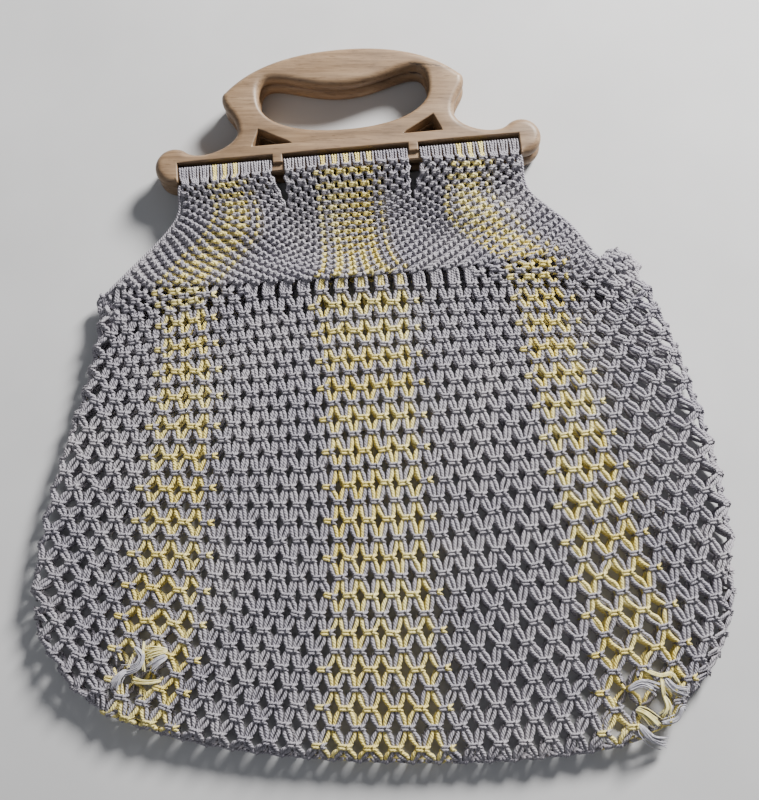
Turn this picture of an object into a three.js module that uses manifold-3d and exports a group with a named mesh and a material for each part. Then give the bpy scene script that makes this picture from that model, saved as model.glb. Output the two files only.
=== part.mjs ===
// Knotted cotton shopping bag with a pair of pierced wooden handles, lying flat on its back.
// Millimetres, +Z up. +X runs across the bag to the right, +Y from its bottom to the handles, and it rests on z = 0.
import * as THREE from "three";
import { mergeVertices } from "three/addons/utils/BufferGeometryUtils.js";
import Module from "manifold-3d";

const wasm = await Module();
wasm.setup();

// Driving sizes
const GAP = 0.35; // clearance between neighbouring pieces
const CORD = 2; // wall of one layer of cord
const WALL = 4; // knotted wall, two cords deep
const POUCH_HIGH = 14; // the flat pouch over its two walls
const LIFT = { high: 2, y: -75, halfWide: 200, halfLong: 140 }; // how the middle of the front wall stands up
const BAG_AT = [0, -1.43]; // places the middle of the whole bag on the origin

// One handle board. s runs along the board from its middle and w up from the top line of its slots.
const BOARD = { thick: 11, rounding: 2.6, turn: THREE.MathUtils.degToRad(5.4) };
const CROWN = { high: 69.2, arch: 50 };
const SHOULDER = { s: 76.8, w: 43.5, rounding: 2.4, pull: 10 };
const WAIST = { s: 68.5, w: 19, pull: 10 };
const NECK = { s: 94, w: 0 };
const KNOB = { s: 109, w: -1.3, radius: 12.2, neckAngle: THREE.MathUtils.degToRad(125) };
const RAIL = { top: -4.6, bottom: -10.6, thick: 6.2 };
const PILLAR = { left: -44.6, right: 40.4, half: 3.1 };
const SLOT_END = 107;
const LOOP_CORNER = 1.2; // how far the cord loops round the rail's corners are cut off
const HAND = { half: 53.7, bottom: 13.4, flat: 32, rise: 22, widest: 37 };
const GRIP = { sag: 43, flat: 20, cornerS: 45, cornerW: 51.5, reach: 34 };
const PIERCING = { inner: 35, outer: 59.5, base: 6.8, apexS: 55, apexW: 17.8 };
const FRONT_BOARD_AT = [-22, 150.6, BOARD.thick + 0.3];
const BACK_BOARD_AT = [-21.4, 149.9, 0];

// Knot columns across one face of the bag. The three panels hang in the three slots of the rail.
const COLUMNS = 29;
const PANEL_COLUMNS = { left: [0, 9], middle: [9, 20], right: [20, COLUMNS] };
const STRIPES = { left: [3, 6], centre: [12, 17], right: [23, 26] };

// Sections of the yoke, top to bottom. row counts knot repeats below the rail, ends gives y at the left edge,
// the middle and the right edge, and across gives x at each of YOKE_COLUMNS.
const YOKE_COLUMNS = [0, 3, 6, 12, 17, 23, 26, 29];
const YOKE_SECTIONS = [
  { row: 3, ends: [110, 117, 127], across: [-127, -103, -81, -39, -4, 40, 62, 89] },
  { row: 6, ends: [98, 100, 115], across: [-134, -109, -81, -37, -2, 42, 74, 102] },
  { row: 9, ends: [83, 84, 104], across: [-147, -123, -92, -36, 1, 55, 85, 115] },
  { row: 13, ends: [60, 68, 86], across: [-167, -140, -107, -38, 9, 77, 109, 128] },
];
const YOKE_ROWS = 13;
const SLIT = { length: 20, mouth: 7.4, foot: 2 };
const YOKE_STRIPE_ROWS = [0.9, 12.3];
const INSET = { columns: 0.06, rows: 0.1, netRows: 0.03 }; // a stripe's clearance in its window

// Heights of the yokes' middle at the rail, half way down and at the net, and the soft fold that runs down
// the outer stripes of the front one.
const YOKE_HEIGHTS = {
  front: [FRONT_BOARD_AT[2] + BOARD.thick / 2, 15.2, POUCH_HIGH - WALL / 2],
  back: [BOARD.thick / 2, 2.6, WALL / 2],
};
const FOLD = { high: 1.8, columns: [4.5, 24.5], halfWide: 4, row: 7, halfLong: 5 };

// Sections of the net below it, in the same form. The net is a column wider than the yoke on each side.
const NET_COLUMNS = [-1, 3, 6, 12, 17, 23, 26, 30];
const NET_SECTIONS = [
  { row: 0, ends: [38, 51, 60], across: [-175, -136, -106, -43, 17, 81, 112, 165] },
  { row: 3, ends: [-10, 0, 13], across: [-183, -138, -102, -37, 20, 89, 124, 182] },
  { row: 6, ends: [-61, -59, -42], across: [-195, -143, -104, -33, 24, 100, 140, 199] },
  { row: 9, ends: [-111, -124, -98], across: [-204, -149, -106, -32, 29, 111, 157, 208] },
  { row: 11, ends: [-143, -166, -139], across: [-209, -155, -110, -35, 33, 122, 172, 222] },
  { row: 13, ends: [-172, -209, -177], across: [-208, -158, -121, -37, 36, 124, 176, 232] },
];
const NET_STRIPE_FIRST = -0.6;
const NET_STRIPE_LAST = { left: 10.5, centre: 12.4, right: 10.7 };

// The pouch's outline from its left upper corner round the bottom to its right upper corner, as a smooth curve.
const POUCH_OUTLINE = [
  [-163, 120], [-173, 50], [-181, 0], [-194, -42], [-203, -84], [-204, -126], [-189, -164],
  [-155, -192], [-100, -208], [-30, -216], [40, -217.5], [100, -214], [150, -203], [184, -171],
  [201, -135], [205, -95], [199, -45], [185, 10], [170, 50], [128, 130],
];

// Columns of diamond gaps cut through the net, each with its first row.
const GAP_COLUMNS = [
  { column: 1.1, first: 1.2, count: 4 },
  { column: 4.5, first: 1.3, count: 4 },
  { column: 7.2, first: 1.2, count: 5 },
  { column: 9, first: 2.4, count: 5 },
  { column: 10.8, first: 1.2, count: 5 },
  { column: 13.3, first: 1.4, count: 5 },
  { column: 15.7, first: 1.4, count: 5 },
  { column: 18.2, first: 1.2, count: 5 },
  { column: 20, first: 2.4, count: 5 },
  { column: 21.8, first: 1.2, count: 5 },
  { column: 24.5, first: 1.3, count: 4 },
  { column: 27.6, first: 1.2, count: 4 },
];
const GAP_PITCH = 2.5;
const GAP_HALF = { columns: 0.85, rows: 0.95 };

// Bunched knots at the ends of the side slits, and the torn holes with their broken cord ends.
const SIDE_KNOTS = { left: [-162, 50], right: [146, 76] };
const SIDE_KNOT = { reach: 15.5, core: 9.5, bump: 6.4, bumps: 5, high: 15, sway: 1 };
const TORN_HOLES = { left: [-141, -170], right: [150, -180] };
const TORN = { radius: 14, ragged: 2.2, lobes: 3 };
const FRAYED = { head: 4.5, flat: 0.6, root: 1.5, tip: 0.5 };
const FRAYED_LOCKS = [
  { bearing: 20, length: 9.5, rise: 2 },
  { bearing: 95, length: 10, rise: 5 },
  { bearing: 150, length: 8.5, rise: 3 },
  { bearing: 230, length: 10, rise: 6 },
  { bearing: 300, length: 9, rise: 4 },
];

const GREY_CORD = new THREE.MeshStandardMaterial({ color: 0x8f8c99, roughness: 0.95, metalness: 0 });
const YELLOW_CORD = new THREE.MeshStandardMaterial({ color: 0xdcc878, roughness: 0.95, metalness: 0 });
const WOOD = new THREE.MeshStandardMaterial({ color: 0xb08f70, roughness: 0.65, metalness: 0 });

const THROUGH = [-10, 40]; // heights that pass right through the bag
const FAR = 300; // past the bag on every side

// Geometry and solids
function solid(geometry) {
  const bare = geometry.clone();
  bare.deleteAttribute("normal");
  bare.deleteAttribute("uv");
  const merged = mergeVertices(bare, 1e-4);
  return new wasm.Manifold(
    new wasm.Mesh({
      numProp: 3,
      vertProperties: new Float32Array(merged.attributes.position.array),
      triVerts: new Uint32Array(merged.index.array),
    }),
  );
}

function geometryOf(manifold) {
  const { vertProperties, triVerts } = manifold.getMesh();
  const geometry = new THREE.BufferGeometry();
  geometry.setAttribute("position", new THREE.BufferAttribute(vertProperties, 3));
  geometry.setIndex(new THREE.BufferAttribute(triVerts, 1));
  return geometry;
}

function namedMesh(name, manifold, material) {
  const mesh = new THREE.Mesh(geometryOf(manifold), material);
  mesh.name = name;
  return mesh;
}

// An upright prism on a plan outline, an array of [x, y].
function prism(outline, low, high) {
  const shape = new THREE.Shape(outline.map(([x, y]) => new THREE.Vector2(x, y)));
  const geometry = new THREE.ExtrudeGeometry(shape, { depth: high - low, bevelEnabled: false });
  return solid(geometry.translate(0, 0, low));
}

function box([x0, x1], [y0, y1], [z0, z1]) {
  return prism([[x0, y0], [x1, y0], [x1, y1], [x0, y1]], z0, z1);
}

// A smooth line through rising stations, with the slopes of a Catmull-Rom curve.
function smoothLine(stations, values) {
  const last = stations.length - 1;
  const slope = (i) => {
    const a = Math.max(i - 1, 0);
    const b = Math.min(i + 1, last);
    return (values[b] - values[a]) / (stations[b] - stations[a]);
  };
  return (at) => {
    let i = 0;
    while (i < last - 1 && at > stations[i + 1]) i += 1;
    const span = stations[i + 1] - stations[i];
    const t = (at - stations[i]) / span;
    const [t2, t3] = [t * t, t * t * t];
    return (
      values[i] * (2 * t3 - 3 * t2 + 1) +
      slope(i) * span * (t3 - 2 * t2 + t) +
      values[i + 1] * (3 * t2 - 2 * t3) +
      slope(i + 1) * span * (t3 - t2)
    );
  };
}

// A knotted sheet: a function from column and row to [x, y], through the sections of a table.
function sheet(columns, sections) {
  const rows = sections.map((section) => section.row);
  const first = columns[0];
  const last = columns[columns.length - 1];
  const endLines = [0, 1, 2].map((i) => smoothLine(rows, sections.map((section) => section.ends[i])));
  const acrossLines = columns.map((_, i) => smoothLine(rows, sections.map((section) => section.across[i])));
  return (column, row) => {
    const x = smoothLine(columns, acrossLines.map((line) => line(row)))(column);
    const [left, middle, right] = endLines.map((line) => line(row));
    const t = (2 * (column - first)) / (last - first) - 1;
    const y = middle + ((right - left) / 2) * t + ((right + left) / 2 - middle) * t * t;
    return [x, y];
  };
}

// The handle boards
function boardPlace([x, y, z]) {
  const place = new THREE.Matrix4().makeRotationZ(BOARD.turn);
  return place.setPosition(x, y, z);
}

function mirrored(half) {
  const other = half.slice(1, -1).reverse();
  return [...half, ...other.map((p) => new THREE.Vector2(-p.x, p.y))];
}

function boardOutline() {
  const fall = RAIL.bottom - KNOB.w;
  const meet = Math.PI + Math.asin(-fall / KNOB.radius);
  const half = new THREE.Path();
  half.moveTo(0, RAIL.bottom);
  half.absarc(KNOB.s, KNOB.w, KNOB.radius, meet, KNOB.neckAngle + 2 * Math.PI, false);
  half.bezierCurveTo(NECK.s, NECK.w, WAIST.s, WAIST.w - WAIST.pull, WAIST.s, WAIST.w);
  const corner = [SHOULDER.s, SHOULDER.w - SHOULDER.rounding];
  half.bezierCurveTo(WAIST.s, WAIST.w + WAIST.pull, SHOULDER.s, SHOULDER.w - SHOULDER.pull, ...corner);
  const past = [SHOULDER.s - SHOULDER.rounding, SHOULDER.w + SHOULDER.rounding];
  half.quadraticCurveTo(SHOULDER.s, SHOULDER.w + SHOULDER.rounding / 2, ...past);
  half.quadraticCurveTo(CROWN.arch, CROWN.high, 0, CROWN.high);
  return mirrored(half.getPoints(5));
}

function handOpening() {
  const half = new THREE.Path();
  half.moveTo(0, HAND.bottom);
  half.bezierCurveTo(HAND.flat, HAND.bottom, HAND.half, HAND.rise, HAND.half, HAND.widest);
  half.quadraticCurveTo(HAND.half, GRIP.cornerW, GRIP.cornerS, GRIP.cornerW);
  half.bezierCurveTo(GRIP.reach, GRIP.cornerW, GRIP.flat, GRIP.sag, 0, GRIP.sag);
  return mirrored(half.getPoints(5));
}

const SLOTS = [
  [-SLOT_END, PILLAR.left - PILLAR.half],
  [PILLAR.left + PILLAR.half, PILLAR.right - PILLAR.half],
  [PILLAR.right + PILLAR.half, SLOT_END],
];

function board() {
  const shape = new THREE.Shape(boardOutline());
  shape.holes.push(new THREE.Path(handOpening()));
  const flat = BOARD.thick - 2 * BOARD.rounding;
  const blank = new THREE.ExtrudeGeometry(shape, {
    depth: flat,
    bevelEnabled: true,
    bevelThickness: BOARD.rounding,
    bevelSize: BOARD.rounding,
    bevelOffset: -BOARD.rounding,
    bevelSegments: 2,
  });
  let wood = solid(blank.translate(0, 0, BOARD.rounding));
  const through = [-1, BOARD.thick + 1];
  const rebate = (BOARD.thick - RAIL.thick) / 2;
  for (const slot of SLOTS) {
    wood = wood.subtract(box(slot, [RAIL.top, 0], through));
    wood = wood.subtract(box(slot, [KNOB.w - KNOB.radius - 1, RAIL.bottom], through));
    wood = wood.subtract(box(slot, [RAIL.bottom - 1, RAIL.top + 1], [-1, rebate]));
    wood = wood.subtract(box(slot, [RAIL.bottom - 1, RAIL.top + 1], [BOARD.thick - rebate, BOARD.thick + 1]));
  }
  for (const side of [-1, 1]) {
    const corners = [
      [side * PIERCING.inner, PIERCING.base],
      [side * PIERCING.outer, PIERCING.base],
      [side * PIERCING.apexS, PIERCING.apexW],
    ];
    wood = wood.subtract(prism(corners, ...through));
  }
  return wood;
}

// A rectangle with its corners cut off.
function cutCorners([x0, x1], [y0, y1], cut) {
  return [
    [x0 + cut, y0], [x1 - cut, y0], [x1, y0 + cut], [x1, y1 - cut],
    [x1 - cut, y1], [x0 + cut, y1], [x0, y1 - cut], [x0, y0 + cut],
  ];
}

// The cord loops round one stretch of rail, as a sleeve.
function railLoops([s0, s1]) {
  const rebate = (BOARD.thick - RAIL.thick) / 2;
  const [low, high] = [RAIL.bottom - GAP, RAIL.top + GAP];
  const [under, over] = [rebate - GAP, BOARD.thick - rebate + GAP];
  const bore = [[low, under], [high, under], [high, over], [low, over]];
  const outer = cutCorners([low - CORD, high + CORD], [under - CORD, over + CORD], LOOP_CORNER);
  const shape = new THREE.Shape(outer.map(([w, z]) => new THREE.Vector2(w, z)));
  shape.holes.push(new THREE.Path(bore.map(([w, z]) => new THREE.Vector2(w, z))));
  const sleeve = new THREE.ExtrudeGeometry(shape, { depth: s1 - s0 - 2 * GAP, bevelEnabled: false });
  // the section's x is w, its y is z and its depth is s
  const turn = new THREE.Matrix4().set(0, 0, 1, s0 + GAP, 1, 0, 0, 0, 0, 1, 0, 0, 0, 0, 0, 1);
  return solid(sleeve.applyMatrix4(turn));
}

// The yokes
const LOOPS_BOTTOM = RAIL.bottom - GAP - CORD;

// Where a knot column leaves the rail, along the board.
const railStation = smoothLine(
  [0, PANEL_COLUMNS.middle[0], PANEL_COLUMNS.right[0], COLUMNS],
  [-SLOT_END + GAP, PILLAR.left, PILLAR.right, SLOT_END - GAP],
);

function yokeSheet(boardAt) {
  const place = boardPlace(boardAt);
  const top = (column) => {
    const p = new THREE.Vector3(railStation(column), LOOPS_BOTTOM - GAP, 0).applyMatrix4(place);
    return [p.x, p.y];
  };
  const lower = sheet(YOKE_COLUMNS, YOKE_SECTIONS);
  const fixed = YOKE_SECTIONS.map((section) => section.row);
  return (column, row) => {
    const hung = [top(column), ...fixed.map((r) => lower(column, r))];
    return [0, 1].map((axis) => smoothLine([0, ...fixed], hung.map((p) => p[axis]))(row));
  };
}

// A closed slab of a knotted sheet, as thick as the wall, with its middle at the height that a function gives.
function slab(point, columns, rows, middle) {
  const wide = columns.length;
  const positions = [];
  for (const side of [1, -1])
    for (const row of rows)
      for (const column of columns) {
        const z = middle(column, row) + (side * WALL) / 2;
        positions.push(...point(column, row), z);
      }
  const under = wide * rows.length;
  const index = [];
  const quad = (a, b, c, d) => index.push(a, b, c, a, c, d);
  const at = (i, j) => i * wide + j;
  for (let i = 0; i + 1 < rows.length; i += 1)
    for (let j = 0; j + 1 < wide; j += 1) {
      const corners = [at(i, j), at(i + 1, j), at(i + 1, j + 1), at(i, j + 1)];
      quad(...corners);
      quad(...corners.reverse().map((k) => k + under));
    }
  const last = rows.length - 1;
  const rim = [];
  for (let j = 0; j < wide; j += 1) rim.push(at(0, j));
  for (let i = 1; i <= last; i += 1) rim.push(at(i, wide - 1));
  for (let j = wide - 2; j >= 0; j -= 1) rim.push(at(last, j));
  for (let i = last - 1; i > 0; i -= 1) rim.push(at(i, 0));
  rim.forEach((a, i) => {
    const b = rim[(i + 1) % rim.length];
    quad(a, b, b + under, a + under);
  });
  const geometry = new THREE.BufferGeometry();
  geometry.setAttribute("position", new THREE.Float32BufferAttribute(positions, 3));
  geometry.setIndex(index);
  return solid(geometry);
}

function evenly(from, to, steps) {
  return Array.from({ length: steps + 1 }, (_, i) => from + ((to - from) * i) / steps);
}

// The plan outline of a stripe, between two columns and two rows of a sheet.
function stripeOutline(point, [c0, c1], [r0, r1], steps) {
  const rows = evenly(r0, r1, steps);
  return [...rows.map((row) => point(c0, row)), ...rows.reverse().map((row) => point(c1, row))];
}

function sideKnotPlan([x, y]) {
  const reach = SIDE_KNOT.reach + GAP;
  return evenly(0, 2 * Math.PI, 14)
    .slice(1)
    .map((angle) => [x + reach * Math.cos(angle), y + reach * Math.sin(angle)]);
}

function withoutSideKnots(piece) {
  return Object.values(SIDE_KNOTS).reduce(
    (left, centre) => left.subtract(prism(sideKnotPlan(centre), ...THROUGH)),
    piece,
  );
}

// An upright prism on an outline drawn along a board, as [s, w].
function prismOnBoard(boardAt, outline) {
  const place = boardPlace(boardAt);
  const plan = outline.map(([s, w]) => {
    const p = new THREE.Vector3(s, w, 0).applyMatrix4(place);
    return [p.x, p.y];
  });
  return prism(plan, ...THROUGH);
}

function slit(boardAt, s) {
  const foot = LOOPS_BOTTOM - SLIT.length;
  return prismOnBoard(boardAt, [
    [s - SLIT.mouth / 2, LOOPS_BOTTOM],
    [s + SLIT.mouth / 2, LOOPS_BOTTOM],
    [s + SLIT.foot / 2, foot],
    [s - SLIT.foot / 2, foot],
  ]);
}

// The room that a knob needs beside the yoke.
function besideKnob(boardAt, side) {
  const inner = side * (SLOT_END - GAP);
  const outer = side * (KNOB.s + KNOB.radius + GAP);
  const low = KNOB.w - KNOB.radius - GAP;
  return prismOnBoard(boardAt, [[inner, 0], [outer, 0], [outer, low], [inner, low]]);
}

// A yoke and its three stripes, hung from the board at boardAt.
function yoke(face, boardAt) {
  const point = yokeSheet(boardAt);
  const columns = [0, 1.5, 3, 4.5, 6, 9, 12, 17, 20, 23, 24.5, 26, COLUMNS];
  const rows = [0, 2.5, 5, 7.5, 10, YOKE_ROWS];
  const drop = smoothLine([0, YOKE_ROWS / 2, YOKE_ROWS], YOKE_HEIGHTS[face]);
  const fold = (column, row) => {
    const across = Math.min(...FOLD.columns.map((c) => Math.abs(column - c))) / FOLD.halfWide;
    const along = (row - FOLD.row) / FOLD.halfLong;
    return FOLD.high * Math.exp(-across * across - along * along);
  };
  const middle = (column, row) => drop(row) + (face === "front" ? fold(column, row) : 0);
  let panel = withoutSideKnots(slab(point, columns, rows, middle));
  for (const s of [PILLAR.left, PILLAR.right]) panel = panel.subtract(slit(boardAt, s));
  for (const side of [-1, 1]) panel = panel.subtract(besideKnob(boardAt, side));
  const [r0, r1] = YOKE_STRIPE_ROWS;
  const stripes = Object.entries(STRIPES).map(([name, [c0, c1]]) => {
    const inset = [r0 + INSET.rows, r1 - INSET.rows];
    const outline = stripeOutline(point, [c0 + INSET.columns, c1 - INSET.columns], inset, 5);
    const stripe = panel.intersect(prism(outline, ...THROUGH));
    return namedMesh(`yoke_stripe_${face}_${name}`, stripe, YELLOW_CORD);
  });
  for (const columnsOf of Object.values(STRIPES))
    panel = panel.subtract(prism(stripeOutline(point, columnsOf, [r0, r1], 5), ...THROUGH));
  return [namedMesh(`yoke_${face}`, panel, GREY_CORD), ...stripes];
}

// The net pouch
const netPoint = sheet(NET_COLUMNS, NET_SECTIONS);
const POUCH_MIDDLE = POUCH_HIGH / 2;
const FLAT_SHARE = 0.1; // of the pouch's height that stands upright at its edge

// The pouch's outline drawn in by inset and swollen to a half-round edge.
function pillow(inset, high) {
  const curve = new THREE.SplineCurve(POUCH_OUTLINE.map(([x, y]) => new THREE.Vector2(x, y)));
  const flat = high * FLAT_SHARE;
  const round = (high - flat) / 2;
  const geometry = new THREE.ExtrudeGeometry(new THREE.Shape(curve.getPoints(38)), {
    depth: flat,
    bevelEnabled: true,
    bevelThickness: round,
    bevelSize: round,
    bevelOffset: -round - inset,
    bevelSegments: inset ? 2 : 3,
  });
  return solid(geometry.translate(0, 0, POUCH_MIDDLE - flat / 2));
}

// Everything above the yoke's lower edge.
function aboveMouth() {
  const lower = sheet(YOKE_COLUMNS, YOKE_SECTIONS);
  const edge = evenly(0, COLUMNS, 12).map((column) => lower(column, YOKE_ROWS));
  const line = edge.map(([x, y]) => [x, y - GAP]);
  const outline = [[-FAR, line[0][1]], ...line, [FAR, line[line.length - 1][1]], [FAR, FAR], [-FAR, FAR]];
  return prism(outline, ...THROUGH);
}

function diamonds() {
  const cuts = GAP_COLUMNS.flatMap(({ column, first, count }) =>
    evenly(first, first + (count - 1) * GAP_PITCH, count - 1).map((row) =>
      prism(
        [
          netPoint(column, row - GAP_HALF.rows),
          netPoint(column + GAP_HALF.columns, row),
          netPoint(column, row + GAP_HALF.rows),
          netPoint(column - GAP_HALF.columns, row),
        ],
        ...THROUGH,
      ),
    ),
  );
  return cuts.reduce((all, cut) => all.add(cut));
}

function tornOutline([x, y]) {
  return evenly(0, 2 * Math.PI, 14)
    .slice(1)
    .map((angle) => {
      const radius = TORN.radius + TORN.ragged * Math.sin(TORN.lobes * angle + x);
      return [x + radius * Math.cos(angle), y + radius * Math.sin(angle)];
    });
}

// Lets the middle of the pouch stand up a little more than its edges.
function lifted(mesh) {
  const position = mesh.geometry.attributes.position;
  for (let i = 0; i < position.count; i += 1) {
    const across = 1 - (position.getX(i) / LIFT.halfWide) ** 2;
    const along = 1 - ((position.getY(i) - LIFT.y) / LIFT.halfLong) ** 2;
    const bump = Math.max(across, 0) * Math.max(along, 0);
    position.setZ(i, position.getZ(i) * (1 + (bump * LIFT.high) / POUCH_HIGH));
  }
  return mesh;
}

function pouch() {
  const gaps = diamonds();
  const shell = withoutSideKnots(
    pillow(0, POUCH_HIGH).subtract(pillow(WALL, POUCH_HIGH - 2 * WALL)).subtract(aboveMouth()),
  ).subtract(gaps);
  const layers = { front: [POUCH_MIDDLE, THROUGH[1]], back: [THROUGH[0], POUCH_MIDDLE] };
  let net = shell;
  const stripes = [];
  for (const [name, [c0, c1]] of Object.entries(STRIPES)) {
    const rows = [NET_STRIPE_FIRST, NET_STRIPE_LAST[name]];
    const insetRows = [rows[0] + INSET.netRows, rows[1] - INSET.netRows];
    const inset = stripeOutline(netPoint, [c0 + INSET.columns, c1 - INSET.columns], insetRows, 6);
    for (const [face, heights] of Object.entries(layers)) {
      const stripe = shell.intersect(prism(inset, ...heights));
      stripes.push(lifted(namedMesh(`net_stripe_${face}_${name}`, stripe, YELLOW_CORD)));
    }
    net = net.subtract(prism(stripeOutline(netPoint, [c0, c1], rows, 6), ...THROUGH));
  }
  for (const centre of Object.values(TORN_HOLES)) net = net.subtract(prism(tornOutline(centre), ...layers.front));
  return [lifted(namedMesh("net_pouch", net, GREY_CORD)), ...stripes];
}

// Bunched knots and frayed ends
function blob(radius, high, [x, y, z]) {
  const geometry = new THREE.SphereGeometry(radius, 8, 5).rotateX(Math.PI / 2).scale(1, 1, high / radius);
  return solid(geometry.translate(x, y, z));
}

function sideKnots(name, [x, y]) {
  const middle = SIDE_KNOT.high / 2;
  const ring = SIDE_KNOT.reach - SIDE_KNOT.bump - GAP;
  let lump = blob(SIDE_KNOT.core, middle, [x, y, middle]);
  for (let i = 0; i < SIDE_KNOT.bumps; i += 1) {
    const angle = (2 * Math.PI * i) / SIDE_KNOT.bumps;
    const z = middle + (i % 2 ? SIDE_KNOT.sway : -SIDE_KNOT.sway);
    const at = [x + ring * Math.cos(angle), y + ring * Math.sin(angle), z];
    lump = lump.add(blob(SIDE_KNOT.bump, SIDE_KNOT.bump, at));
  }
  return namedMesh(`side_knots_${name}`, lump, GREY_CORD);
}

function frayedEnds(name, [x, y]) {
  const thick = FRAYED.head * FRAYED.flat;
  const z = WALL + GAP + thick;
  let tuft = blob(FRAYED.head, thick, [x, y, z]);
  for (const { bearing, length, rise } of FRAYED_LOCKS) {
    const angle = THREE.MathUtils.degToRad(bearing);
    const tip = new THREE.Vector3(length * Math.cos(angle), length * Math.sin(angle), rise);
    const lock = new THREE.CylinderGeometry(FRAYED.tip, FRAYED.root, tip.length(), 5);
    const turn = new THREE.Quaternion().setFromUnitVectors(new THREE.Vector3(0, 1, 0), tip.clone().normalize());
    lock.applyQuaternion(turn).translate(x + tip.x / 2, y + tip.y / 2, z + tip.z / 2);
    tuft = tuft.add(solid(lock));
  }
  return namedMesh(`frayed_ends_${name}`, tuft, GREY_CORD);
}

// Assembly
function handle(face, boardAt) {
  const group = new THREE.Group();
  group.add(namedMesh(`handle_${face}`, board(), WOOD));
  Object.keys(PANEL_COLUMNS).forEach((panel, i) => {
    group.add(namedMesh(`rail_loops_${face}_${panel}`, railLoops(SLOTS[i]), GREY_CORD));
  });
  group.position.set(...boardAt);
  group.rotation.z = BOARD.turn;
  return group;
}

const bag = new THREE.Group();
bag.position.set(...BAG_AT, 0);
bag.add(handle("front", FRONT_BOARD_AT), handle("back", BACK_BOARD_AT));
bag.add(...yoke("front", FRONT_BOARD_AT), ...yoke("back", BACK_BOARD_AT));
bag.add(...pouch());
for (const [name, centre] of Object.entries(SIDE_KNOTS)) bag.add(sideKnots(name, centre));
for (const [name, centre] of Object.entries(TORN_HOLES)) bag.add(frayedEnds(name, centre));

const root = new THREE.Group();
root.add(bag);
export default root;
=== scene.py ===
"""Knotted cotton shopping bag with pierced wooden handles, lying flat: its cords, boards and looks."""
import math
from functools import cache

import bpy
import numpy as np
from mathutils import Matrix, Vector
from mathutils.geometry import tessellate_polygon


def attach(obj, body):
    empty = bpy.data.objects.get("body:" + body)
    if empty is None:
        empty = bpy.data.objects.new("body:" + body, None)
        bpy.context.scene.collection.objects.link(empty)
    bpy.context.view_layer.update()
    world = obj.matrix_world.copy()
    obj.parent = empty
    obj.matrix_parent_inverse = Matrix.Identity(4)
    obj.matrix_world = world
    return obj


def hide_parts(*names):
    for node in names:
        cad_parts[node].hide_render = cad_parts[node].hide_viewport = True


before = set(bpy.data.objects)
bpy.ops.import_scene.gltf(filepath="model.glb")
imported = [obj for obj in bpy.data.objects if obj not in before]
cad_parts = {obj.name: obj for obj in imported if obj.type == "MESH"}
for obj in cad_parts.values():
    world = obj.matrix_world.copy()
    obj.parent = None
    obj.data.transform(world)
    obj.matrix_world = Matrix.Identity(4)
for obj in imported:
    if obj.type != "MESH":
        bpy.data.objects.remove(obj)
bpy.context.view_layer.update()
MM = 0.001

# Where the bag and its boards lie, in millimetres
BAG_AT = (0.0, -1.43)
TURN = math.radians(5.4)
BOARD_AT = {"front": (-22.0, 150.6, 11.3), "back": (-21.4, 149.9, 0.0)}

# Sizes of a board, along it from its middle and up from the top of its slots
BOARD_THICK = 11.0
RAIL_TOP, RAIL_BOTTOM, RAIL_THICK = -4.6, -10.6, 6.2
PILLARS, PILLAR_HALF, SLOT_END = (-44.6, 40.4), 3.1, 107.0
KNOB_S, KNOB_W, KNOB_RADIUS, KNOB_NECK = 109.0, -1.3, 12.2, math.radians(125)
SHOULDER, WAIST, CROWN = (76.8, 41.1), (68.5, 19), 69.2
GRIP_END, GRIP_LOW, GRIP_HIGH = (53.7, 37), 13.4, 43
EDGE_ROUND = {"slot": 0.8, "knob": 5.2, "rim": 4.6, "grip": 5.0, "grip_low": 2.4, "piercing": 0.9}

# Columns of four cords, and where the stripes, the panels and the slits between them are
COLUMNS = 29
SLIT_COLUMNS = (9, 20)
PANELS = {"left": (0, 9), "middle": (9, 20), "right": (20, 29)}
STRIPES = {"left": (3, 6), "centre": (12, 17), "right": (23, 26)}
YELLOW_CORDS = (2, 3)

# Rows of knots. A row has knots between the columns, half a row lower than those within them
YOKE_ROWS, NET_ROWS, JOIN_MOST = 14, 15, 5
SLIT_ROWS = 2.9
YOKE_DEPTH, YOKE_END, NET_START = 12.2, 12.9, -0.6

# Sections of the yoke and the net: row, y at the left, middle and right, x at each of the columns
YOKE_COLUMNS = (0, 3, 6, 12, 17, 23, 26, 29)
YOKE_SECTIONS = (
    (3, (110, 117, 127), (-127, -103, -81, -39, -4, 40, 62, 89)),
    (6, (98, 100, 115), (-134, -109, -81, -37, -2, 42, 74, 102)),
    (9, (83, 84, 104), (-147, -123, -92, -36, 1, 55, 85, 115)),
    (13, (60, 68, 86), (-167, -140, -107, -38, 9, 77, 109, 128)),
)
NET_COLUMNS = (-1, 3, 6, 12, 17, 23, 26, 30)
NET_SECTIONS = (
    (0, (30, 52, 54), (-175, -136, -106, -43, 17, 81, 112, 165)),
    (3, (-10, 0, 13), (-183, -138, -102, -37, 20, 89, 124, 182)),
    (6, (-61, -59, -42), (-195, -143, -104, -33, 24, 100, 140, 199)),
    (9, (-111, -124, -98), (-204, -149, -106, -32, 29, 111, 157, 208)),
    (11, (-143, -166, -139), (-209, -155, -110, -35, 33, 122, 172, 222)),
    (13, (-172, -209, -177), (-208, -158, -121, -37, 36, 124, 176, 232)),
)
POUCH_OUTLINE = (
    (-163, 120), (-173, 50), (-181, 0), (-194, -42), (-203, -84), (-204, -126), (-189, -164),
    (-155, -192), (-100, -208), (-30, -216), (40, -217.5), (100, -214), (150, -203), (184, -171),
    (201, -135), (205, -95), (199, -45), (185, 10), (170, 50), (128, 130),
)

# Extra knot rows between yoke and net: the last column of each stretch and its rows
JOIN_ROWS = ((5.6, 3), (8.2, 1), (20.6, 0), (21.9, 1), (26.2, 3), (31.0, 5))

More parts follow.
